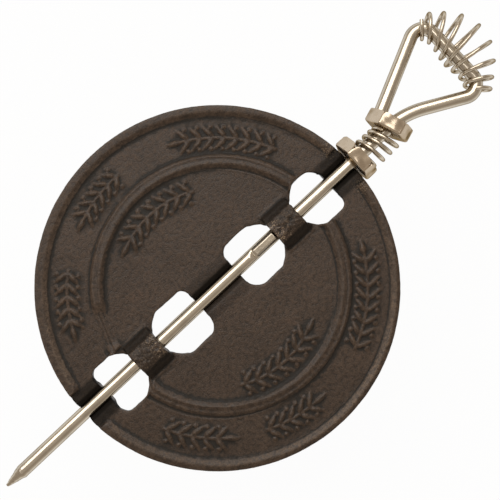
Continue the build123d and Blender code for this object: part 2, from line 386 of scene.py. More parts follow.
def count_turns(knobs, wire_tail):
    """A line of points, and the turn that each lies on. The tail at both ends is a share of a turn."""
    turns = knobs["Turns"]
    number = turns * POINTS_PER_TURN
    line = turns.add("GeometryNodeMeshLine", {"mode": "OFFSET"}, {"Count": number})
    index = turns.add("GeometryNodeInputIndex")
    along = index / (number - 1.0)
    return line, along * (turns + 2 * wire_tail) - wire_tail


def eased(turn, knobs):
    """Share of a coil's length reached at a turn, -1 at its start and 1 at its end."""
    share = turn * 2.0 / knobs["Turns"] - 1.0
    return (1.0 + knobs["Closing"]) * share - knobs["Closing"] * share * share * share


def wound_wire(knobs, line, x, y, z):
    """The wire through the line's points, once they are at their places."""
    place = line.add("ShaderNodeCombineXYZ", inputs={0: x, 1: y, 2: z})
    points = line.add("GeometryNodeSetPosition", inputs={"Geometry": line, "Position": place})
    curve = points.add("GeometryNodeMeshToCurve", inputs={"Mesh": points})
    return tube_along(curve, knobs["Wire radius"], WIRE_SIDES)


# %% The pressure spring
SPRING_TAIL = 0.037

knobs = new_recipe("pressure spring", [
    "Turns", "Closing", "Coil radius", "Start X", "End X", "Sag", "Sag share", "Tilt", "Lead",
    "Start angle", "Wire radius"])
line, turn = count_turns(knobs, SPRING_TAIL)
middle_x = (knobs["Start X"] + knobs["End X"]) * 0.5
half_span = (knobs["End X"] - knobs["Start X"]) * 0.5
part_way = turn / knobs["Turns"]
slump = part_way.maths("MINIMUM", part_way / knobs["Sag share"], 1.0)
sagged = knobs["Sag"] * slump * slump * (3.0 - 2.0 * slump) * -1.0
tilt = knobs["Tilt"] * part_way ** 2.0
# The factor makes Lead the most that this adds, a third of the way along.
lead = knobs["Lead"] * (27 / 4) * part_way * (1.0 - part_way) ** 2.0
around = knobs["Start angle"] + turn * math.tau
up = knobs["Coil radius"] * around.cos()
wire = wound_wire(
    knobs, line,
    middle_x + eased(turn, knobs) * half_span + lead - up * tilt.sin(),
    sagged + up * tilt.cos(),
    knobs["Coil radius"] * around.sin())
spring_recipe = end_recipe(wire, knobs["Finish"])

SPRING_START_X = 74.97 * MM
SPRING_END_X = 91.5 * MM
spring = run_recipe(spring_recipe, "wound_spring", {
    "Turns": 4.75, "Closing": 0.15, "Coil radius": 6.1 * MM, "Start X": SPRING_START_X,
    "End X": SPRING_END_X, "Sag": 1.95 * MM, "Sag share": 0.4, "Tilt": math.radians(18), "Lead": 1.0 * MM,
    "Start angle": math.radians(140), "Wire radius": WIRE_RADIUS, "Finish": wire_nickel})

# %% [markdown]
# The handle's coil keeps the fingers off the hot spindle. It swells from its ends, which grip the two
# corners of the loop, to a barrel in the middle, and fans out like a hand of cards because its ends sit
# on a bow. The rule is the same: a turn's place on the fan, its radius, and how far round it has gone.

# %% The handle's coil
COIL_TAIL = 0.3

knobs = new_recipe("handle coil", [
    "Turns", "Closing", "Flatness", "Reach", "Half fan", "End radius", "Middle radius", "Centre X",
    "Centre Y", "Facing", "Wire radius"])
line, turn = count_turns(knobs, COIL_TAIL)
wave = turn * math.tau
sweep = turn - wave.sin() * (knobs["Flatness"] / math.tau)
fan = knobs["Facing"] + knobs["Half fan"] * eased(sweep, knobs)
swell_angle = (turn * 2.0 / knobs["Turns"] - 1.0) * math.pi
swell = (swell_angle.cos() + 1.0) * 0.5
radius = knobs["End radius"] + (knobs["Middle radius"] - knobs["End radius"]) * swell
around = turn * math.tau
out = knobs["Reach"] + radius * around.cos()
wire = wound_wire(
    knobs, line,
    knobs["Centre X"] + out * fan.cos(),
    knobs["Centre Y"] + out * fan.sin(),
    radius * around.sin() * -1.0)
coil_recipe = end_recipe(wire, knobs["Finish"])

# %% The loop of the handle, and the coil on it
CROSSBAR_X = 132.8 * MM
CORNER_BEND = 5.4 * MM
ROD_RADIUS = 2.75 * MM
LOWER_LEG, UPPER_LEG = 28.3, 25.0  # angles of the legs to the rod, in degrees
HALF_FAN = math.radians(45)
SEAT_OUT = 0.9 * MM
BAR_ROOM = 1.28 * MM
END_ROOM = 1.45 * MM


def bar_corner(foot, leg_angle, side):
    """The corner where a leg of the loop meets the crossbar. Side 1 is the upper leg, -1 the lower."""
    rise = (CROSSBAR_X - foot.x) * math.tan(math.radians(leg_angle))
    return Vector((CROSSBAR_X, foot.y + side * rise, 0))


def corner_seat(corner, leg_angle, side, seat_angle):
    """Centre of the coil's end turn, just outside the bend at a corner of the loop."""
    tangent = CORNER_BEND * math.tan(math.radians((90 + leg_angle) / 2))
    seat = Vector((math.cos(math.radians(seat_angle)), side * math.sin(math.radians(seat_angle)), 0))
    bend_centre = Vector((corner[0] - CORNER_BEND, corner[1] - side * tangent, 0))
    return bend_centre + seat * (CORNER_BEND + SEAT_OUT)


neck_corner = Vector((101.7 * MM, 0, 0))
knee_corner = Vector((94.0 * MM, 5.75 * MM, 0))
lower_corner = bar_corner(neck_corner, LOWER_LEG, -1)
upper_corner = bar_corner(knee_corner, UPPER_LEG, 1)
coil_start = corner_seat(lower_corner, LOWER_LEG, -1, seat_angle=59)
coil_end = corner_seat(upper_corner, UPPER_LEG, 1, seat_angle=49)
chord = coil_end - coil_start
coil_out = chord.normalized().cross(Vector((0, 0, 1)))
fan_reach = chord.length / 2 / math.sin(HALF_FAN)
fan_centre = (coil_start + coil_end) / 2 - coil_out * (fan_reach * math.cos(HALF_FAN))
middle_radius = (fan_centre + coil_out * fan_reach).x - CROSSBAR_X + ROD_RADIUS + WIRE_RADIUS + BAR_ROOM
coil = run_recipe(coil_recipe, "wound_handle_coil", {
    "Turns": 7.5, "Closing": 0.17, "Flatness": 0.85, "Reach": fan_reach, "Half fan": HALF_FAN,
    "End radius": ROD_RADIUS + WIRE_RADIUS + END_ROOM, "Middle radius": middle_radius,
    "Centre X": fan_centre.x, "Centre Y": fan_centre.y,
    "Facing": math.atan2(coil_out.y, coil_out.x), "Wire radius": WIRE_RADIUS, "Finish": wire_nickel})
print("fan reach", round(fan_reach / MM, 2), "middle radius", round(middle_radius / MM, 2))

# %% Wires in place of the measured ones
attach(spring, "spring")
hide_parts("pressure_spring")
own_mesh(spring)
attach(coil, "handle")
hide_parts("handle_coil")

# %% [markdown]
# The spindle is one drawn rod, pointed at one end and bent into the loop of the handle at the other. The
# smith's work is a line with four corners, so the recipe rounds the corners and runs a circle along the
# line. The point was hammered and the lug was thrown up by one blow of a chisel, so both are pushed into
# the rod's surface afterwards, vertex by vertex.

# %% The spindle's line
TIP_X = -115.5 * MM
CONE_END_X = -107.4 * MM
FREE_END_X = 91.67 * MM
NECK_BEND, KNEE_BEND = 35.0 * MM, 6.0 * MM

stations = [
    (Vector((TIP_X, 0, 0)), 0.0), (neck_corner, NECK_BEND), (lower_corner, CORNER_BEND),
    (upper_corner, CORNER_BEND), (knee_corner, KNEE_BEND), (Vector((FREE_END_X, knee_corner.y, 0)), 0.0)]
runs = [(i, i + 1) for i in range(len(stations) - 1)]
line_mesh = bpy.data.meshes.new("spindle line")
line_mesh.from_pydata([tuple(corner) for corner, _ in stations], runs, [])
bends = line_mesh.attributes.new("bend", "FLOAT", "POINT")
bends.data.foreach_set("value", [bend for _, bend in stations])
print("the spindle's line has", len(stations), "stations")

# %% The spindle's recipe
TIP_RADIUS = 0.6 * MM
ROD_SIDES = 40
BEND_STEPS = 40

knobs = new_recipe("spindle", ["Rod radius", "Tip X", "Cone end X", "Tip share", "Spacing"])
curve = knobs["Geometry"].add("GeometryNodeMeshToCurve", inputs={"Mesh": knobs["Geometry"]})
bend = curve.add("GeometryNodeInputNamedAttribute", {"data_type": "FLOAT"}, {"Name": "bend"})
rounded = curve.add("GeometryNodeFilletCurve", {"mode": "POLY"}, {
    "Curve": curve, "Count": BEND_STEPS, "Radius": bend, "Limit Radius": True})
even = rounded.add("GeometryNodeResampleCurve", {"mode": "LENGTH"}, {
    "Curve": rounded, "Length": knobs["Spacing"]})
here = even.add("GeometryNodeInputPosition")
here_x = here.add("ShaderNodeSeparateXYZ", inputs={0: here}, out="X")
share = here_x.add("ShaderNodeMapRange", inputs={
    0: here_x, 1: knobs["Tip X"], 2: knobs["Cone end X"], 3: knobs["Tip share"], 4: 1.0})
shaped = even.add("GeometryNodeSetCurveRadius", inputs={"Curve": even, "Radius": share})
rod = tube_along(shaped, knobs["Rod radius"], ROD_SIDES, share)
spindle_recipe = end_recipe(rod, knobs["Finish"])
spindle = run_recipe(spindle_recipe, "bent_spindle", {
    "Rod radius": ROD_RADIUS, "Tip X": TIP_X, "Cone end X": CONE_END_X,
    "Tip share": TIP_RADIUS / ROD_RADIUS, "Spacing": 0.45 * MM, "Finish": rod_nickel}, line_mesh)

# %% The hammered point and the struck lug
LUG_END_X = 31.0 * MM
LUG_LENGTH = 10.8 * MM
LUG_START_X = LUG_END_X - LUG_LENGTH
LUG_HALF_WIDTH = 1.5 * MM
LUG_TOP = ROD_RADIUS + 0.6 * MM
CUT_LENGTH = 2.4 * MM
CUT_DEPTH = 0.9 * MM
HAMMERED_TO = CONE_END_X + 4 * MM

for vertex in spindle.data.vertices:
    co = vertex.co
    if co.x < HAMMERED_TO:
        rough = min(1, (HAMMERED_TO - co.x) / (5 * MM))
        dent = noise.noise(co * 700) * 0.16 + noise.noise(co * 1900) * 0.07
        side = Vector((0, co.y, co.z))
        if side.length > 0:
            vertex.co = co + side.normalized() * dent * rough * MM
    elif co.z > 0 and co.x < LUG_END_X and co.x > LUG_START_X - CUT_LENGTH:
        if co.x >= LUG_START_X:
            if abs(co.y) < LUG_HALF_WIDTH:
                wobble = 0.05 * noise.noise(Vector((co.x * 600, co.y * 900, 3))) * MM
                vertex.co.z = LUG_TOP + wobble
        else:
            cut = ROD_RADIUS - CUT_DEPTH * (co.x - LUG_START_X + CUT_LENGTH) / CUT_LENGTH
            vertex.co.z = min(co.z, cut)

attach(spindle, "handle")
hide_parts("spindle")
print("the lug runs from X", round(LUG_START_X / MM, 1), "to", round(LUG_END_X / MM, 1), "mm")

# %% [markdown]
# The two cups are equal six-sided pressings of thin sheet: a blank with six tabs is punched, and the tabs
# are folded up round a block. They could be cut out of a solid, but a folded sheet has a soft bend at its
# foot and gaps between the tabs, so each cup is made as its sheet: a net whose rows run from the bore over
# the bend to the free edge, with a wall added by a modifier. The free edge is a rule of the distance from
# the nearest corner: rounded tab corners and a narrow gap between them.

# %% Sizes of a cup
CUP_FLAT = 8.57 * MM
CUP_DEPTH = 5.6 * MM
CUP_BORE = 3.42 * MM
SHEET = 0.7 * MM
FOOT_BEND = 1.0 * MM
CUP_CORNER = 1.5 * MM
EDGE_ROUNDING = 0.12 * MM
FLAT_STEPS, CORNER_STEPS = 16, 12
BASE_STEPS, FOOT_STEPS, WALL_STEPS = 4, 6, 8
# For each cup: the gap's root, half its width, and the tab corners' rounding.
WASHER_GAPS = (2.6 * MM, 0.45 * MM, 1.7 * MM)
KEEPER_GAPS = (4.0 * MM, 0.3 * MM, 0.8 * MM)
TAB_BULGE = 0.22 * MM


def free_edge(from_corner, root, half_gap, rounding):
    """Height of the sheet's free edge at a distance from the nearest corner of the cup."""
    shoulder = CUP_DEPTH - rounding
    if from_corner < half_gap:
        return root + (shoulder - root) * from_corner / half_gap
    left = half_gap + rounding - from_corner
    return CUP_DEPTH if left <= 0 else shoulder + math.sqrt(rounding ** 2 - left ** 2)


def cup_outline():
    """Points round a cup: place in its plane, the way out, and the distance from the nearest corner."""
    half = CUP_FLAT * math.tan(math.radians(30))
    straight = half - CUP_CORNER * math.tan(math.radians(30))
    arc = CUP_CORNER * math.radians(30)
    for side in range(6):
        facing = math.radians(60 * side)
        out = Vector((math.cos(facing), math.sin(facing)))
        tangent = Vector((-out.y, out.x))
        for step in range(-FLAT_STEPS, FLAT_STEPS + 1):
            along = step / FLAT_STEPS * straight
            bow = TAB_BULGE * (1 - (along / straight) ** 2)
            lean = math.atan(2 * TAB_BULGE * along / straight ** 2)
            yield out * (CUP_FLAT + bow) + tangent * along, facing + lean, straight - abs(along) + arc
        centre = out * (CUP_FLAT - CUP_CORNER) + tangent * straight
        for step in range(1, CORNER_STEPS):
            turned = facing + math.radians(60 * step / CORNER_STEPS)
            way = Vector((math.cos(turned), math.sin(turned)))
            yield centre + way * CUP_CORNER, turned, abs(step / CORNER_STEPS - 0.5) * 2 * arc


# %% A pressed cup
def pressed_cup(name, seat, axis, turn, gaps):
    """A cup with its base on the seat, its mouth along the axis, and turned about it."""
    across = Vector((0, 0, 1)).cross(axis)
    rings = []
    for place, facing, from_corner in cup_outline():
        way = Vector((math.cos(facing), math.sin(facing)))
        foot = place - way * FOOT_BEND
        bore = place.normalized() * CUP_BORE
        ring = [(bore + (foot - bore) * step / BASE_STEPS, 0.0) for step in range(BASE_STEPS + 1)]
        for step in range(1, FOOT_STEPS + 1):
            bend = math.radians(90 * step / FOOT_STEPS)
            ring.append((foot + way * FOOT_BEND * math.sin(bend), FOOT_BEND * (1 - math.cos(bend))))
        top = free_edge(from_corner, *gaps)
        ring += [(place, FOOT_BEND + (top - FOOT_BEND) * step / WALL_STEPS)
                 for step in range(1, WALL_STEPS + 1)]
        rings.append(ring)
    cos_turn, sin_turn = math.cos(turn), math.sin(turn)
    points = [seat + axis * lift + across * (cos_turn * flat.x - sin_turn * flat.y)
              + Vector((0, 0, 1)) * (sin_turn * flat.x + cos_turn * flat.y)
              for ring in rings for flat, lift in ring]
    rows = len(rings[0])
    faces = []
    for column in range(len(rings)):
        beside = (column + 1) % len(rings)
        faces += [(column * rows + row, column * rows + row + 1, beside * rows + row + 1, beside * rows + row)
                  for row in range(rows - 1)]
    mesh = bpy.data.meshes.new(name)
    mesh.from_pydata(points, [], faces)
    if mesh.polygons[rows - 2].normal.dot(mesh.polygons[rows - 2].center - seat) < 0:
        mesh.flip_normals()
    cup = new_object(name, mesh)
    wall = cup.modifiers.new("wall", "SOLIDIFY")
    wall.thickness = SHEET
    wall.offset = -1
    wall.use_even_offset = True
    rounding = cup.modifiers.new("rounded edges", "BEVEL")
    rounding.width = EDGE_ROUNDING
    rounding.segments = 2
    rounding.limit_method = "ANGLE"
    rounding.angle_limit = math.radians(50)
    return cup


# %% Both cups in their places
WASHER_TURN, KEEPER_TURN = math.radians(38), math.radians(32)
KEEPER_X = 91.8 * MM
KEEPER_SLIP = 0.35 * MM
KEEPER_TILT = math.radians(18)
washer_axis = Vector((1, 0, 0))
keeper_axis = Vector((math.cos(KEEPER_TILT), math.sin(KEEPER_TILT), 0))
washer_seat = Vector((float(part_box("pipe_washer")[0][0]), 0, 0))
keeper_seat = Vector((KEEPER_X, 0, 0)) + keeper_axis.cross(Vector((0, 0, 1))) * KEEPER_SLIP
for node_name, piece_name, body, seat, axis, turn, gaps in (
        ("pipe_washer", "pressed_washer", "washer", washer_seat, washer_axis, WASHER_TURN, WASHER_GAPS),
        ("keeper_cap", "pressed_keeper", "handle", keeper_seat, keeper_axis, KEEPER_TURN, KEEPER_GAPS)):
    cup = baked(pressed_cup(piece_name, seat, axis, turn, gaps))
    paint(cup, cup_nickel)
    for face in cup.data.polygons:
        face.use_smooth = True
    cup.data.set_sharp_from_angle(angle=math.radians(50))
    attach(cup, body)
    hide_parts(node_name)
    print(piece_name, "has", len(cup.data.polygons), "faces")

# %% [markdown]
# The plate is grey iron cast in sand, and left as it came from the mould but for a dark coat. Its skin is
# finely grained and a little browner where it has rusted. Some grains on the humps shine, and their glints
# are painted into the colour as painted highlights. Painted shade darkens the hollows, a painted shadow
# darkens the troughs beside the spindle and the humps' flanks, and the iron is rubbed on its rim. All of that
# depends on
# its shape, so the paint reads it from four attributes, which the last step of the plate measures on its
# mesh:
# the hollows, the mask of painted shadow, the rubbed rim and the crust.


# %% Cast iron
IRON_DARK, IRON_LIGHT = (0.037, 0.0228, 0.0141, 1), (0.045, 0.028, 0.0176, 1)
RUST = (0.060, 0.034, 0.021, 1)
BARE_IRON = (0.092, 0.064, 0.044, 1)
PAINTED_SHADE_COLOUR = (0.006, 0.0045, 0.003, 1)
SHADOW_COAT_COLOUR = (0.008, 0.0065, 0.005, 1)
GLINT_COLOUR = (0.20, 0.15, 0.10, 1)
GRAIN_TONES = [(0.38, (0.50, 0.48, 0.46, 1)), (0.62, (1.56, 1.56, 1.56, 1))]


def cast_iron():
    """Sand-cast iron with painted shade in hollows, painted shadow by the spindle, painted glints, and bare
    rubbed edges.
    """
    material, ink = new_material("cast iron")
    place = ink.add("ShaderNodeTexCoord", out="Object")
    grain = place.speckle(1900.0, 2.0)
    skin = place.speckle(620.0, 3.0)
    drift = place.speckle(45.0, 3.0)
    stain = place.speckle(90.0, 5.0)
    # The second of these attributes is the mask of painted shadow beside the spindle and the humps.
    hollow, sheltered, rubbed, crust = (
        ink.add("ShaderNodeAttribute", {"attribute_name": name}, out="Fac")
        for name in ("hollow", "sheltered", "rubbed", "crust"))

    def mixed(share, first, second):
        return ink.add("ShaderNodeMix", {"data_type": "RGBA"}, {0: share, 6: first, 7: second}, out=2)

    base = mixed(drift.between(0.35, 0.65), IRON_DARK, IRON_LIGHT)
    browned = mixed(stain.between(0.60, 0.74) * 0.4, base, RUST)
    edge_wear = (hollow * -1.0).between(0.04, 0.16) * 0.2
    bare = edge_wear.at_least(rubbed * (skin * 1.4 + 0.2))
    worn = mixed(bare, browned, BARE_IRON)
    # Painted shade: the skin darkens in its hollows, where shade falls in the creases, and darkest in the
    # mask of painted shadow.
    crease_shade = hollow.between(0.015, 0.09) * 0.9
    crease_shaded = mixed(crease_shade.at_least(sheltered * 0.97), worn, PAINTED_SHADE_COLOUR)
    # Painted glints: the bright flecks stand in for light glinting on shiny grains of the crust; their lower
    # roughness is the grains' own.
    painted_glint = grain.between(0.56, 0.64) * crust
    glinted = mixed(painted_glint * 0.9, crease_shaded, GLINT_COLOUR)
    tones = ink.add("ShaderNodeValToRGB", {"stops": GRAIN_TONES}, {0: skin * 0.5 + grain * 0.5})
    toned = ink.add("ShaderNodeMix", {"data_type": "RGBA", "blend_type": "MULTIPLY"}, {
        0: 1.0, 6: glinted, 7: tones}, out=2)
    height = skin * 0.55 + grain * 0.45
    normal = ink.add("ShaderNodeBump", inputs={"Strength": 1.0, "Distance": 0.30 * MM, "Height": height})
    rough = 0.40 + skin.between(0.4, 0.7) * 0.14 + crease_shade * 0.2 + sheltered * 0.2 - painted_glint * 0.2
    iron = ink.add("ShaderNodeBsdfPrincipled", inputs={
        "Base Color": toned, "Roughness": rough, "Metallic": 0.0, "Normal": normal,
        "Specular IOR Level": 0.4})
    # Painted shadow: a dark matte coat laid over the shadow mask stands in for the shade in the troughs.
    shadow_coat = ink.add("ShaderNodeBsdfPrincipled", inputs={
        "Base Color": SHADOW_COAT_COLOUR, "Roughness": 0.95, "Metallic": 0.0, "Normal": normal,
        "Specular IOR Level": 0.08})
    shadow_coated = ink.add("ShaderNodeMixShader", inputs={0: sheltered * 0.85, 1: iron, 2: shadow_coat})
    ink.add("ShaderNodeOutputMaterial", inputs={"Surface": shadow_coated})
    print("the cast iron has", len(material.node_tree.nodes), "nodes")
    return material


iron_finish = cast_iron()

# %% [markdown]
# The front of the plate carries raised ornament in eight short bows. Each is a spray of laurel, which
# foundries have long put on stoves: a bent stem, leaves in pairs, and berries between them. It could be
# drawn as curves by hand, but it repeats, so a recipe makes it. One leaf is a stroke that swells and ends
# in a point, and copies of it are set along the stem and turned. The strokes stand half buried in the
# plate, and the next step fuses them with it, as if all had been cut in one pattern.

# %% The laurel's recipe
STROKE_SIDES = 14
LEAF_STEPS = 20

knobs = new_recipe("laurel spray", [
    "Middle radius", "Start angle", "Bow angle", "Leaf length", "Leaf width", "Leaf slant", "Stem width",
    "Berry", "Relief", "Face height"], counts=["Pairs"])
leaf_width = knobs["Leaf width"]
pair_angle = knobs["Bow angle"] / (knobs["Pairs"] + 0.75)

leaf_tip = leaf_width.add("ShaderNodeCombineXYZ", inputs={0: knobs["Leaf length"]})
leaf_line = leaf_width.add("GeometryNodeCurvePrimitiveLine", inputs={"End": leaf_tip})
leaf_line = leaf_width.add("GeometryNodeResampleCurve", {"mode": "COUNT"}, {
    "Curve": leaf_line, "Count": LEAF_STEPS})
up_leaf = leaf_width.add("GeometryNodeSplineParameter", out="Factor")
belly = (up_leaf ** 0.8 * math.pi).sin().at_least(0.0)
leaf = tube_along(leaf_line, leaf_width * 0.5, STROKE_SIDES, 0.06 + 0.94 * belly)
berry = leaf_width.add("GeometryNodeMeshIcoSphere", inputs={"Radius": knobs["Berry"], "Subdivisions": 2})


# %% The spray along its bow
def along_bow(piece, number, first, turn, lift):
    """Copies of a piece along the stem. First is in steps, turn is from the stem, lift is outwards."""
    row = leaf_width.add("GeometryNodeMeshLine", {"mode": "OFFSET"}, {"Count": number})
    index = leaf_width.add("GeometryNodeInputIndex")
    angle = knobs["Start angle"] + (index + first) * pair_angle
    radius = knobs["Middle radius"] + lift
    place = leaf_width.add("ShaderNodeCombineXYZ", inputs={
        0: radius * angle.cos(), 1: radius * angle.sin()})
    row = leaf_width.add("GeometryNodeSetPosition", inputs={"Geometry": row, "Position": place})
    heading = leaf_width.add("ShaderNodeCombineXYZ", inputs={2: angle + math.pi / 2 + turn})
    heading = leaf_width.add("FunctionNodeEulerToRotation", inputs={0: heading})
    return leaf_width.add("GeometryNodeInstanceOnPoints", inputs={
        "Points": row, "Instance": piece, "Rotation": heading})


# Where the first leaves, the first berries and the end leaf grow, in steps from one pair to the next.
LEAF_START, BERRY_START, END_LEAF_BACK = 0.15, 0.42, 0.25
STEM_STEPS = 40

slant = knobs["Leaf slant"]
berry_lift = knobs["Leaf length"] * 0.62
stem_bow = leaf_width.add("GeometryNodeCurveArc", {"mode": "RADIUS"}, {
    "Resolution": STEM_STEPS, "Radius": knobs["Middle radius"], "Start Angle": knobs["Start angle"],
    "Sweep Angle": pair_angle * knobs["Pairs"]})
parts = [
    tube_along(stem_bow, knobs["Stem width"] * 0.5, STROKE_SIDES),
    along_bow(leaf, knobs["Pairs"], LEAF_START, slant * -1.0, 0.0),
    along_bow(leaf, knobs["Pairs"], LEAF_START, slant, 0.0),
    along_bow(leaf, 1, knobs["Pairs"] - END_LEAF_BACK, 0.0, 0.0),
    along_bow(berry, knobs["Pairs"], BERRY_START, 0.0, berry_lift),
    along_bow(berry, knobs["Pairs"], BERRY_START, 0.0, berry_lift * -1.0),
]
spray = leaf_width.add("GeometryNodeJoinGeometry", inputs={"Geometry": parts[0]})
for part in parts[1:]:
    spray.tree.links.new(part.socket, spray.socket.node.inputs["Geometry"])
lift = leaf_width.add("ShaderNodeCombineXYZ", inputs={2: knobs["Face height"]})
press = leaf_width.add("ShaderNodeCombineXYZ", inputs={
    0: 1.0, 1: 1.0, 2: knobs["Relief"] * 2.0 / leaf_width})
spray = leaf_width.add("GeometryNodeTransform", inputs={
    "Geometry": spray, "Translation": lift, "Scale": press})
spray_recipe = end_recipe(spray, knobs["Finish"])

# %% Eight bows
WEB_HALF = 1.5 * MM
OUTER_RADIUS, INNER_RADIUS = 60.0 * MM, 39.7 * MM
# Each bow's radius, its first and last angle in degrees, and its pairs of leaves.
BOWS = [
    (OUTER_RADIUS, 130, 156, 5), (OUTER_RADIUS, 88, 113, 5), (OUTER_RADIUS, 24, 65, 8),
    (OUTER_RADIUS, 293, 334, 8), (OUTER_RADIUS, 246, 271, 5), (OUTER_RADIUS, 206, 234, 5),
    (INNER_RADIUS, 61, 117, 7), (INNER_RADIUS, 241, 297, 7)]

borders = []
for number, (radius, first, last, pairs) in enumerate(BOWS):
    borders.append(run_recipe(spray_recipe, f"laurel_{number}", {
        "Pairs": pairs, "Middle radius": radius, "Start angle": math.radians(first),
        "Bow angle": math.radians(last - first), "Leaf length": 7.0 * MM, "Leaf width": 2.0 * MM,
        "Leaf slant": math.radians(46), "Stem width": 1.2 * MM, "Berry": 0.75 * MM,
        "Relief": 0.85 * MM, "Face height": WEB_HALF, "Finish": iron_finish}))

# %% [markdown]
# A casting is one skin without a seam, so the plate and its ornament are fused: a voxel remesh wraps them
# in one even net. A boolean union would keep every sharp corner; the net rounds them, as sand does.


# %% A copy whose triangles are joined
def joined_copy(node_name, piece_name):
    """A copy of a CAD node whose loose triangles are joined at their corners."""
    shell = bmesh.new()
    shell.from_mesh(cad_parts[node_name].data)
    bmesh.ops.remove_doubles(shell, verts=shell.verts, dist=0.001 * MM)
    mesh = bpy.data.meshes.new(piece_name)
    shell.to_mesh(mesh)
    shell.free()
    for layer in ("custom_normal", "sharp_edge", "sharp_face"):
        if layer in mesh.attributes:
            mesh.attributes.remove(mesh.attributes[layer])
    return new_object(piece_name, mesh)


# %% Plate and ornament in one skin
plate = joined_copy("damper_plate", "cast_plate")
together = bmesh.new()
together.from_mesh(plate.data)
for border_piece in borders:
    together.from_mesh(border_piece.data)
    bpy.data.objects.remove(border_piece)
together.to_mesh(plate.data)
together.free()

skin = plate.modifiers.new("one skin", "REMESH")
skin.mode = "VOXEL"
skin.voxel_size = 0.42 * MM
baked(plate)
print("the skin has", len(plate.data.vertices), "points")

# %% [markdown]
# The solid is as drawn, and the casting is not: its ring and rim slipped off centre with the mould, the
# ring was patched at one place, the humps have slack shoulders, and the windows have rounder corners. All
# that could be sculpted with a brush. Here it is worked by rules, so that it comes out the same each time:
# Blender hands all the points of the net to numpy at once, and each step moves them by a sum of smooth
# ramps. A waver, a ripple and grit come last, and are strongest in the windows and on the humps.


# %% Helpers for the skin
def read_points(mesh):
    """All points of a mesh as rows of X, Y and Z."""
    co = np.empty(3 * len(mesh.vertices))
    mesh.vertices.foreach_get("co", co)
    return co.reshape(-1, 3)


def write_points(mesh, co):
    """Puts the rows back as the mesh's points."""
    mesh.vertices.foreach_set("co", co.ravel())
    mesh.update()


def read_normals(mesh):
    """The way out of the surface at each point."""
    normal = np.empty(3 * len(mesh.vertices))
    mesh.vertex_normals.foreach_get("vector", normal)
    return normal.reshape(-1, 3)


def ramp(values, low, high):
    """0 below low, 1 above high, smooth between."""
    t = np.clip((values - low) / (high - low), 0, 1)
    return t * t * (3 - 2 * t)


def noise_over(points, scale, seed):
    """Smooth noise at each point. Scale is the size of its waves in metres."""
    shift = Vector((seed * 3.7, seed * 1.3, seed * 7.1))
    return np.array([noise.noise(Vector(p) / scale + shift) for p in points])


def arc_height(values, start, middle, end):
    """Height of the arc through three (radius, height) points, and nothing outside its ends."""
    (x1, y1), (x2, y2), (x3, y3) = start, middle, end
    turn = 2 * (x1 * (y2 - y3) + x2 * (y3 - y1) + x3 * (y1 - y2))
    s1, s2, s3 = x1 * x1 + y1 * y1, x2 * x2 + y2 * y2, x3 * x3 + y3 * y3
    x0 = (s1 * (y2 - y3) + s2 * (y3 - y1) + s3 * (y1 - y2)) / turn
    y0 = (s1 * (x3 - x2) + s2 * (x1 - x3) + s3 * (x2 - x1)) / turn
    reach = (x1 - x0) ** 2 + (y1 - y0) ** 2
    height = y0 + np.sqrt(np.maximum(reach - (values - x0) ** 2, 0))
    return np.where((values > x1) & (values < x3), height, 0)


def rim_height(values, foot, crest, height):
    """Height of the rim: an arc that rises from its foot and runs out level at its crest."""
    bow = (height ** 2 + (crest - foot) ** 2) / (2 * height)
    arc = height - bow + np.sqrt(np.maximum(bow ** 2 - (values - crest) ** 2, 0))
    return np.where(values > crest, height, np.where(values > foot, arc, 0))


# %% Sizes of the ring, the rim and the humps
# The ring and the rim as the solid has them: places from the centre and heights above the web, in mm.
DRAWN_RING = ((47.4, 0), (49.9, 1.2), (52.4, 0))
DRAWN_RIM = (68.2, 71.1, 1.2)
# The same as they are cast, by distance from middles that lie a little beside the plate's centre.
RING_MIDDLE = (2.0, -0.1)
RING_PROFILE = [
    (46.2, 0), (46.7, 0.2), (48.2, 1.12), (48.8, 1.22), (49.3, 1.14), (50.1, 0.93), (50.6, 0.92),
    (51.1, 1.0), (51.4, 0.95), (51.9, 0.6), (52.5, 0.1), (52.9, 0)]
RIM_MIDDLE = (0.55, -0.5)
RIM_PROFILE = [(67.8, 0), (68.3, 0.12), (70.0, 1.08), (70.5, 1.22), (71.0, 1.26), (72.0, 1.2), (75.0, 1.1)]
RIM_LEAN = 0.35
# The patched stretch of the ring, by its angle round the plate, and the thin ridge in its place, in mm.
PATCH = (146.5, 166.0)
RIDGE = ((-41.0, 24.3), (-45.7, 11.8))
RIDGE_HEIGHT = 0.35
# The humps' ends along the spindle, how far their shoulders drop, and the lip at the windows' edge, in mm.
HUMPS = (31.4, 43.8)
SHOULDER_DROP = 0.7
LIP_HEIGHT = 0.2


def away_from(points, middle):
    """Distance of each point from a middle, seen from above, in mm."""
    return np.hypot(points[:, 0] / MM - middle[0], points[:, 1] / MM - middle[1])


def from_line(points, start, end):
    """Distance of each point from a line between two places, seen from above, in mm."""
    along = np.subtract(end, start)
    reach = points[:, :2] / MM - start
    share = np.clip(reach @ along / (along @ along), 0, 1)
    return np.hypot(*(reach - share[:, None] * along).T)


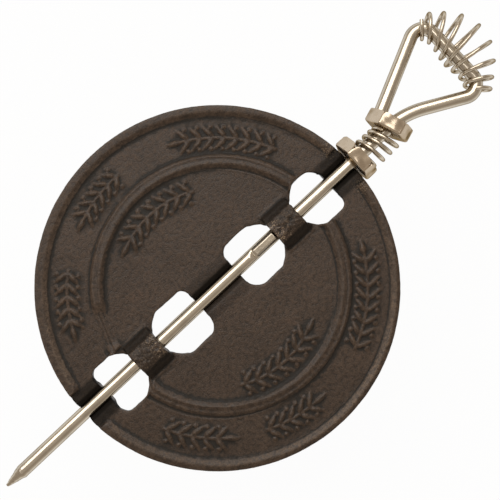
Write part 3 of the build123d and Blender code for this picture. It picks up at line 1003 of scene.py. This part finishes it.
# %% Outlines of the windows
# Each window's outline: its ends along the spindle, its edges across it, and the reach of its four
# rounded corners, along and across. The first two corners are at the hump, the last two at the bridge.
# What is called drawn is the solid's own outline.
WINDOWS = [
    ((-43.8, -61.6), (9.9, -12.1), ((7.2, 6.2), (7.2, 7.2), (3.6, 6.0), (3.6, 6.2))),
    ((-31.4, -10.1), (9.95, -11.9), ((7.6, 6.2), (8.2, 7.8), (3.2, 4.4), (4.6, 6.4))),
    ((31.6, 10.2), (10.3, -11.6), ((9.0, 6.2), (8.2, 7.8), (4.4, 4.8), (6.4, 7.2))),
    ((44.3, 60.9), (9.95, -11.1), ((7.2, 6.2), (6.6, 6.8), (6.0, 6.6), (2.9, 3.2))),
]
DRAWN_EDGES = (10.25, -11.75)
DRAWN_CORNERS = ((5.6, 5.6), (5.6, 5.6), (3.2, 3.2), (3.2, 3.2))
DRAWN_ENDS = ((-43.8, -61.2), (-31.4, -10.2), (31.4, 10.2), (43.8, 61.2))
DRAWN_BOWS = [1.25] * 2 + [2.0] * 2
HUMP_BOW, BRIDGE_BOW = 1.95, 2.0


def window_outline(ends, edges, corners, bows):
    """Points round a window, each corner a bow from its edge to its end. A bow of 1 is a straight cut."""
    points = []
    for (end, edge), (reach, drop), bow in zip(
            ((ends[0], edges[0]), (ends[0], edges[1]), (ends[1], edges[0]), (ends[1], edges[1])),
            corners, bows):
        inward = -math.copysign(1, end - sum(ends) / 2)
        downward = -math.copysign(1, edge - sum(edges) / 2)
        turn = np.radians(np.linspace(0, 90, 16))
        points.append(np.column_stack([
            end + inward * reach * (1 - np.cos(turn) ** (2 / bow)),
            edge + downward * drop * (1 - np.sin(turn) ** (2 / bow))]))
    return np.vstack(points)


def reach_by_angle(outline, centre, angles):
    """How far an outline lies from a centre, in the directions of the given angles."""
    around = np.arctan2(*(outline - centre).T[::-1])
    order = np.argsort(around)
    corners = (outline - centre)[order]
    corners = np.vstack([corners[-1], corners, corners[0]])
    around = np.concatenate([[around[order[-1]] - math.tau], around[order], [around[order[0]] + math.tau]])
    side = np.clip(np.searchsorted(around, angles), 1, len(around) - 1)
    p, q = corners[side - 1], corners[side]
    facing = np.column_stack([np.cos(angles), np.sin(angles)])
    edge = q - p
    return (p[:, 0] * edge[:, 1] - p[:, 1] * edge[:, 0]) / (
        facing[:, 0] * edge[:, 1] - facing[:, 1] * edge[:, 0])


def past_windows(points):
    """How far each point lies outside the nearest drawn window, in mm."""
    outside = np.full(len(points), 99.0)
    for ends in DRAWN_ENDS:
        centre = np.array([sum(ends) / 2, sum(DRAWN_EDGES) / 2])
        out = points[:, :2] / MM - centre
        outline = window_outline(ends, DRAWN_EDGES, DRAWN_CORNERS, DRAWN_BOWS)
        reach = reach_by_angle(outline, centre, np.arctan2(out[:, 1], out[:, 0]))
        outside = np.minimum(outside, np.hypot(*out.T) - reach)
    return outside


# %% Ring, rim and ridge
co = read_points(plate.data)
normal = read_normals(plate.data)
radius = np.hypot(co[:, 0], co[:, 1]) / MM
angle = np.degrees(np.arctan2(co[:, 1], co[:, 0])) % 360
upward = ramp(normal[:, 2], 0.3, 0.7)
clear_of_windows = ramp(past_windows(co), 0.2, 0.8) * ramp(np.abs(co[:, 1]) / MM, 8.9, 9.7)
drawn_height = arc_height(radius, *DRAWN_RING) + rim_height(radius, *DRAWN_RIM)
patched = ramp(angle, PATCH[0] - 3, PATCH[0] + 4) * (1 - ramp(angle, PATCH[1] - 3, PATCH[1] + 3))
ring = np.interp(away_from(co, RING_MIDDLE), *zip(*RING_PROFILE)) * (1 - patched)
ridge = from_line(co, *RIDGE)
two_crests = np.exp(-(ridge / 0.6) ** 2) + 0.5 * np.exp(-((ridge - 1.5) / 0.5) ** 2)
ring += RIDGE_HEIGHT * two_crests * patched
rim = np.interp(away_from(co, RIM_MIDDLE), *zip(*RIM_PROFILE))
rim -= RIM_LEAN * np.maximum(radius - 71.2, 0) * np.maximum(-np.sin(np.radians(angle)), 0)
moved = (ring + rim - drawn_height) * upward * clear_of_windows
co[:, 2] += moved * MM
print("ring and rim move by", round(float(moved.min()), 2), "to", round(float(moved.max()), 2), "mm")

# %% The humps and the lips beside them
across = np.abs(co[:, 1]) / MM
along = np.abs(co[:, 0]) / MM
at_hump = ramp(along, HUMPS[0] - 1, HUMPS[0]) * (1 - ramp(along, HUMPS[1], HUMPS[1] + 1))
shoulder = ramp(across, 1.8, 5.0) * (1 - ramp(across, 5.0, 8.4)) * ramp(co[:, 2] / MM, 2.6, 4.0)
co[:, 2] -= SHOULDER_DROP * shoulder * at_hump * MM
lip = LIP_HEIGHT * np.exp(-((across - 9.3) / 0.45) ** 2) * at_hump * upward
co[:, 2] += lip * MM
print(int((shoulder * at_hump > 0.5).sum()), "points lie on the shoulders of the humps")

# %% Rounder windows
CAST_BOWS = [HUMP_BOW] * 2 + [BRIDGE_BOW] * 2

for (ends, edges, corners), drawn_ends in zip(WINDOWS, DRAWN_ENDS):
    centre = np.array([sum(drawn_ends) / 2, sum(DRAWN_EDGES) / 2])
    out = co[:, :2] / MM - centre
    near = np.nonzero(np.hypot(*out.T) < 22)[0]
    out = out[near]
    angles = np.arctan2(out[:, 1], out[:, 0])
    distance = np.hypot(*out.T)
    cast_outline = window_outline(ends, edges, corners, CAST_BOWS)
    drawn_outline = window_outline(drawn_ends, DRAWN_EDGES, DRAWN_CORNERS, DRAWN_BOWS)
    wanted = reach_by_angle(cast_outline, centre, angles)
    drawn = reach_by_angle(drawn_outline, centre, angles)
    share = 1 - ramp(distance - drawn, 0.5, 5.0)
    share *= ramp(np.abs(co[near, 1]) / MM, 4.9, 6.6)
    out *= (1 + (wanted - drawn) * share / distance)[:, None]
    co[near, :2] = (out + centre) * MM
    print("window from X", drawn_ends[0], "to", drawn_ends[1], "mm:", len(near), "points near it")

# %% Waver, ripple and grit
WAVER_SIZE, RIPPLE_SIZE, GRIT_SIZE = 7 * MM, 2.2 * MM, 0.95 * MM

wall = 1 - ramp(np.abs(normal[:, 2]), 0.3, 0.7)
window_wall = wall * (1 - ramp(radius, 70.5, 71.5))
crust = ramp(co[:, 2] / MM, 3.2, 4.6) * at_hump * upward
waver = (0.09 + 0.20 * window_wall) * noise_over(co, WAVER_SIZE, 1)
ripple = (0.04 + 0.12 * window_wall + 0.22 * crust) * noise_over(co, RIPPLE_SIZE, 2)
grit = (0.03 + 0.34 * crust) * noise_over(co, GRIT_SIZE, 3)
from_axis = np.hypot(co[:, 1], co[:, 2]) / MM
free = ramp(from_axis, 3.0, 4.2)
co += normal * ((waver + ripple + grit) * free * MM)[:, None]
write_points(plate.data, co)
print("the crust lies on", int((crust > 0.5).sum()), "points")

# %% [markdown]
# The net is as fine on the flat back as on the ornament. Decimate takes faces away where they say little,
# down to a number that every viewer can carry. It may cut a corner in the channels, so points that came
# too near the spindle's axis are pushed back out.

# %% Fewer faces, and room for the spindle
MOST_TRIANGLES = 190000
CHANNEL_CLEAR = 2.88 * MM

thinning = plate.modifiers.new("fewer faces", "DECIMATE")
thinning.ratio = MOST_TRIANGLES / sum(len(p.vertices) - 2 for p in plate.data.polygons)
baked(plate)

co = read_points(plate.data)
from_axis = np.hypot(co[:, 1], co[:, 2])
tight = from_axis < CHANNEL_CLEAR
co[tight, 1:] *= (CHANNEL_CLEAR / from_axis[tight])[:, None]
write_points(plate.data, co)
for face in plate.data.polygons:
    face.use_smooth = True
print("the plate has", len(plate.data.polygons), "faces;", int(tight.sum()), "points moved off the spindle")

# %% [markdown]
# Painted shade goes into the hollows and painted shadow beside the spindle and the humps, and handling rubs
# the rim bare. Such masks could be painted by hand. Here they are measured: a smoothed copy of the skin lies
# above it in a hollow and below it on an edge, and the rest follows from the distance to the spindle and to
# the rim.

# %% Hollows of the skin
edges = np.empty(2 * len(plate.data.edges), dtype=np.int32)
plate.data.edges.foreach_get("vertices", edges)
edges = edges.reshape(-1, 2)
joined = np.bincount(edges.ravel(), minlength=len(co)).astype(float)


def smoothed(points, rounds):
    """The points, each drawn halfway to its neighbours' middle as many times as asked."""
    for _ in range(rounds):
        total = np.column_stack([
            np.bincount(edges[:, 0], points[edges[:, 1], axis], len(points))
            + np.bincount(edges[:, 1], points[edges[:, 0], axis], len(points)) for axis in range(3)])
        points = 0.5 * points + 0.5 * total / joined[:, None]
    return points


fine = smoothed(co, 2)
broad = smoothed(fine, 12)
hollow = ((broad - fine) * read_normals(plate.data)).sum(axis=1) / MM
print("the skin lies up to", round(float(hollow.max()), 2), "mm below its smoothed copy")

# %% Painted shadow beside the spindle
across = np.abs(co[:, 1]) / MM
along = np.abs(co[:, 0]) / MM
depth = np.abs(co[:, 2]) / MM
radius = np.hypot(co[:, 0], co[:, 1]) / MM
angle = np.degrees(np.arctan2(co[:, 1], co[:, 0])) % 360
beside_spindle = 1 - ramp(across, 8.0, 9.2)
at_end = ramp(along, 58.0, 61.0)
shaded = 1 - ramp(across, 4.0 + 3.5 * at_end, 7.5 + 1.5 * at_end)
shaded *= 1 - 0.5 * (co[:, 1] < 0) * (1 - at_end)
trough = shaded * (1 - ramp(depth, 1.2, 1.9))
flank = beside_spindle * ramp(across, 4.0, 5.4) * ramp(depth, 1.2, 1.9)
hump_top = ramp(co[:, 2] / MM, 3.0, 4.2) * (1 - ramp(across, 4.0, 5.6))
past_lit_end = ramp(along, HUMPS[0] + 1.0, HUMPS[0] + 6.0)
# The mask of painted shadow: the troughs beside the spindle, the humps' flanks and, faintly, the hump tops
# past their lit end, where shadow falls.
sheltered = np.maximum(np.maximum(trough, 0.6 * flank), 0.22 * hump_top * past_lit_end)

# %% The rubbed rim and the crust
# How far the rim is rubbed bare, by the angle round the plate.
RUBBED_RIM = [(0, 0.3), (30, 0.15), (60, 0), (110, 0.1), (145, 0.4), (163, 0.6), (215, 0.3), (245, 0.5),
              (280, 1.0), (300, 0.9), (325, 0.4), (360, 0.3)]
from_rim = away_from(co, RIM_MIDDLE)
rubbed = np.interp(angle, *zip(*RUBBED_RIM)) * ramp(from_rim, 68.0, 69.2) * (1 - ramp(from_rim, 70.6, 71.4))
rubbed *= ramp(across, 9.0, 12.0)
from_corner = np.hypot(co[:, 0] / MM - 70.5, across - 9.5)
# The crust also carries the paint's painted glints of shiny grains.
crust = np.maximum(hump_top * (1 - 0.75 * past_lit_end), 0.6 * (1 - ramp(from_corner, 2.0, 5.0)))
for name, values in (("hollow", hollow), ("sheltered", sheltered), ("rubbed", rubbed), ("crust", crust)):
    plate.data.attributes.new(name, "FLOAT", "POINT").data.foreach_set("value", values)
    print(name, "from", round(float(values.min()), 2), "to", round(float(values.max()), 2))

paint(plate, iron_finish)
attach(plate, "plate")
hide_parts("damper_plate")
